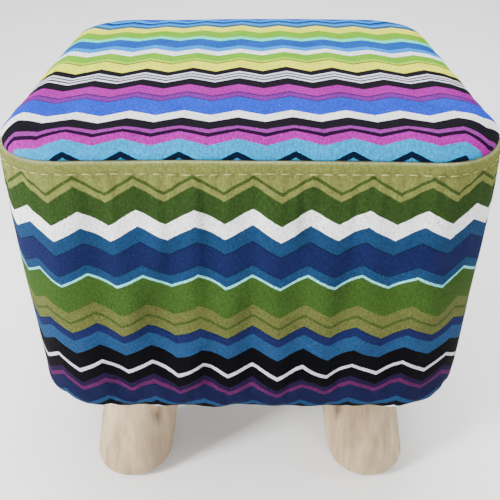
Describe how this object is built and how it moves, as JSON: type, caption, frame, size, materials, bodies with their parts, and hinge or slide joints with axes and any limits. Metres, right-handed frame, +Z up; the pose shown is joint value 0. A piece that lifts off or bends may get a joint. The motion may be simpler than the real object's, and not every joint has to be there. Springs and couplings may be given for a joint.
{
  "type": "footstool",
  "caption": "Square padded footstool with a zig-zag striped fabric slipcover and four stubby splayed wooden legs that screw in.",
  "frame": {"origin": "on the floor, under the middle of the seat", "axes": "+Z up; the front that the picture shows faces -Y; +X to the right as seen from the front"},
  "size_m": [0.28, 0.28, 0.284],
  "materials": {
    "printed_cloth": "woven cotton-polyester with a printed zig-zag stripe in greens, blues, black, white and magenta; the colour here is the print's average",
    "foam": "open-cell cushion foam",
    "plywood": "unfinished plywood",
    "pine": "planed pine",
    "hardboard": "bent hardboard",
    "lining": "black non-woven dust cover",
    "elastic": "knitted elastic",
    "leg_wood": "sanded pale wood with a clear matt finish, fine grain and small knots",
    "zinc_steel": "zinc plated",
    "fibre": "vulcanised fibre",
    "felt": "pressed felt"
  },
  "bodies": {
    "seat": {"base_board": "plywood", "base_screw_back_left": "zinc_steel", "base_screw_back_right": "zinc_steel", "base_screw_front_left": "zinc_steel", "base_screw_front_right": "zinc_steel", "carcass_wrap": "hardboard", "cover_side_band": "printed_cloth", "cover_top_panel": "printed_cloth", "hem_elastic": "elastic", "insert_nut_back_left": "zinc_steel", "insert_nut_back_right": "zinc_steel", "insert_nut_front_left": "zinc_steel", "insert_nut_front_right": "zinc_steel", "post_back_left": "pine", "post_back_right": "pine", "post_front_left": "pine", "post_front_right": "pine", "seat_foam": "foam", "side_foam": "foam", "top_board": "plywood", "top_screw_back_left": "zinc_steel", "top_screw_back_right": "zinc_steel", "top_screw_front_left": "zinc_steel", "top_screw_front_right": "zinc_steel", "underside_lining": "lining"},
    "front_left_washer": {"leg_washer_front_left": "fibre"},
    "front_left_leg": {"leg_front_left": "leg_wood", "hanger_bolt_front_left": "zinc_steel", "foot_pad_front_left": "felt"},
    "front_right_washer": {"leg_washer_front_right": "fibre"},
    "front_right_leg": {"leg_front_right": "leg_wood", "hanger_bolt_front_right": "zinc_steel", "foot_pad_front_right": "felt"},
    "back_left_washer": {"leg_washer_back_left": "fibre"},
    "back_left_leg": {"leg_back_left": "leg_wood", "hanger_bolt_back_left": "zinc_steel", "foot_pad_back_left": "felt"},
    "back_right_washer": {"leg_washer_back_right": "fibre"},
    "back_right_leg": {"leg_back_right": "leg_wood", "hanger_bolt_back_right": "zinc_steel", "foot_pad_back_right": "felt"}
  },
  "joints": [
    {"name": "front_left_leg_travel", "type": "slide", "parent": "seat", "child": "front_left_washer", "axis": [0, 0, -1], "range_m": [0, 0.01]},
    {"name": "front_left_leg_turn", "type": "hinge", "parent": "front_left_washer", "child": "front_left_leg", "pos_m": [-0.075, -0.075, 0.096], "axis": [0, 0, -1], "range_deg": [0, 2880]},
    {"name": "front_right_leg_travel", "type": "slide", "parent": "seat", "child": "front_right_washer", "axis": [0, 0, -1], "range_m": [0, 0.01]},
    {"name": "front_right_leg_turn", "type": "hinge", "parent": "front_right_washer", "child": "front_right_leg", "pos_m": [0.075, -0.075, 0.096], "axis": [0, 0, -1], "range_deg": [0, 2880]},
    {"name": "back_left_leg_travel", "type": "slide", "parent": "seat", "child": "back_left_washer", "axis": [0, 0, -1], "range_m": [0, 0.01]},
    {"name": "back_left_leg_turn", "type": "hinge", "parent": "back_left_washer", "child": "back_left_leg", "pos_m": [-0.075, 0.075, 0.096], "axis": [0, 0, -1], "range_deg": [0, 2880]},
    {"name": "back_right_leg_travel", "type": "slide", "parent": "seat", "child": "back_right_washer", "axis": [0, 0, -1], "range_m": [0, 0.01]},
    {"name": "back_right_leg_turn", "type": "hinge", "parent": "back_right_washer", "child": "back_right_leg", "pos_m": [0.075, 0.075, 0.096], "axis": [0, 0, -1], "range_deg": [0, 2880]}
  ],
  "couplings": [
    {"joint": "front_left_leg_travel", "follows": "front_left_leg_turn", "m_per_rad": 0.00019894},
    {"joint": "front_right_leg_travel", "follows": "front_right_leg_turn", "m_per_rad": 0.00019894},
    {"joint": "back_left_leg_travel", "follows": "back_left_leg_turn", "m_per_rad": 0.00019894},
    {"joint": "back_right_leg_travel", "follows": "back_right_leg_turn", "m_per_rad": 0.00019894}
  ]
}
